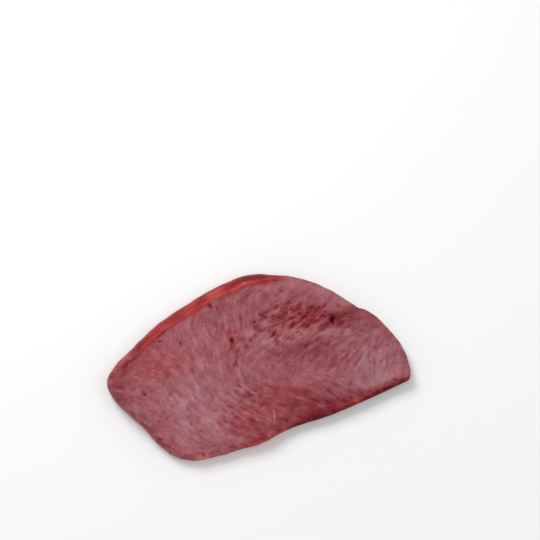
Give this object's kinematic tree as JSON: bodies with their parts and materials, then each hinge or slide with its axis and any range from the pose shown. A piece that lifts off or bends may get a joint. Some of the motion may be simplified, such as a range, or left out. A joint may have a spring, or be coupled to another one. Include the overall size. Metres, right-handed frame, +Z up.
{
  "type": "beef heart slice",
  "caption": "Thick raw slice of beef heart lying flat: fan-shaped, straight cut on one side, sloping natural rim on the other, pitted muscle on the face.",
  "frame": {"origin": "on the resting face, below the middle of the slice's box", "axes": "+X along the straight cut edge towards its sharp corner, +Y towards the natural outer rim, +Z up out of the face"},
  "size_m": [0.1448, 0.0862, 0.0113],
  "materials": {
    "heart_muscle": "moist raw muscle, soft mauve red with a broad dull sheen"
  },
  "bodies": {
    "root": {"beef_heart_slice": "heart_muscle"}
  },
  "joints": []
}
